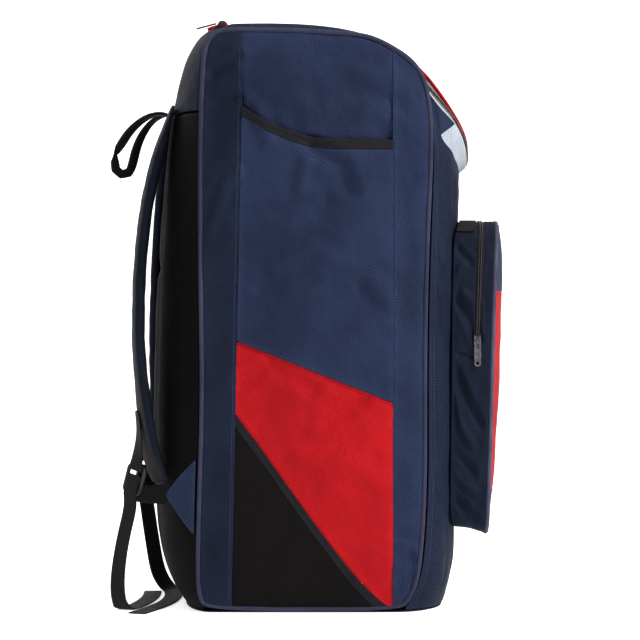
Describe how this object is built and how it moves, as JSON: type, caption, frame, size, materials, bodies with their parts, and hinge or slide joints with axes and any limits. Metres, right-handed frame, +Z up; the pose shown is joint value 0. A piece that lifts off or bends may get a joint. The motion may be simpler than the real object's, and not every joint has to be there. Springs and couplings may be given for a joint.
{
  "type": "cricket kit bag",
  "caption": "Tall duffle-style cricket kit bag worn on the back, standing on its base, with a hinged zip lid, front pocket, side slip pockets, mesh corners and padded shoulder straps",
  "frame": {"origin": "on the floor, under the middle of the base panel, halfway between the two side panels", "axes": "+Z up, +X to the right side of the bag as seen from its front, -Y out of the front pocket, +Y out of the back where the shoulder straps are"},
  "size_m": [0.337, 0.5415, 0.7862],
  "materials": {
    "navy_cloth": "woven polyester, matt",
    "red_cloth": "woven polyester, matt",
    "light_grey_tape": "woven tape, matt",
    "black_mesh": "spacer mesh, matt",
    "black_webbing": "ribbed webbing and binding, matt",
    "black_zip": "zip tape and coil",
    "black_plastic": "moulded, satin",
    "dark_metal": "dark gunmetal plating"
  },
  "bodies": {
    "bag": {"front_panel": "navy_cloth", "lid": "navy_cloth", "back_yoke": "navy_cloth", "base_panel": "navy_cloth", "pocket_gusset_back": "navy_cloth", "pocket_gusset_front": "navy_cloth", "pocket_face_foot": "navy_cloth", "pocket_face_top": "navy_cloth", "side_piping_left": "navy_cloth", "side_piping_right": "navy_cloth", "side_back_strip_left": "navy_cloth", "side_back_strip_right": "navy_cloth", "side_front_strip_left": "navy_cloth", "side_front_strip_right": "navy_cloth", "side_upper_panel_left": "navy_cloth", "side_upper_panel_right": "navy_cloth", "slip_pocket_left": "navy_cloth", "slip_pocket_right": "navy_cloth", "shoulder_strap_left": "navy_cloth", "shoulder_strap_right": "navy_cloth", "anchor_patch_left": "navy_cloth", "anchor_patch_right": "navy_cloth", "lid_piping": "red_cloth", "pocket_face_red": "red_cloth", "red_panel_left": "red_cloth", "red_panel_right": "red_cloth", "main_zip_tape": "light_grey_tape", "front_crescent": "light_grey_tape", "pocket_piping": "light_grey_tape", "back_pad": "black_mesh", "mesh_panel_left": "black_mesh", "mesh_panel_right": "black_mesh", "slip_binding_left": "black_webbing", "slip_binding_right": "black_webbing", "mesh_binding_left": "black_webbing", "mesh_binding_right": "black_webbing", "pocket_binding": "black_webbing", "strap_end_webbing_left": "black_webbing", "strap_end_webbing_right": "black_webbing", "adjuster_webbing_left": "black_webbing", "adjuster_webbing_right": "black_webbing", "haul_loop": "black_webbing", "main_zip_loop_left": "black_webbing", "main_zip_loop_right": "black_webbing", "main_zip_coil": "black_zip", "pocket_zip": "black_zip", "ladder_lock_left": "black_plastic", "ladder_lock_right": "black_plastic", "main_zip_slider_left": "black_plastic", "main_zip_slider_right": "black_plastic", "pocket_zip_slider": "dark_metal"},
    "zip_pull": {"pocket_zip_pull": "dark_metal"}
  },
  "joints": [
    {"name": "zip_pull_swing", "type": "hinge", "parent": "bag", "child": "zip_pull", "pos_m": [-0.12245, -0.219, 0.3579], "axis": [0, 1, 0], "range_deg": [0, 160]}
  ]
}
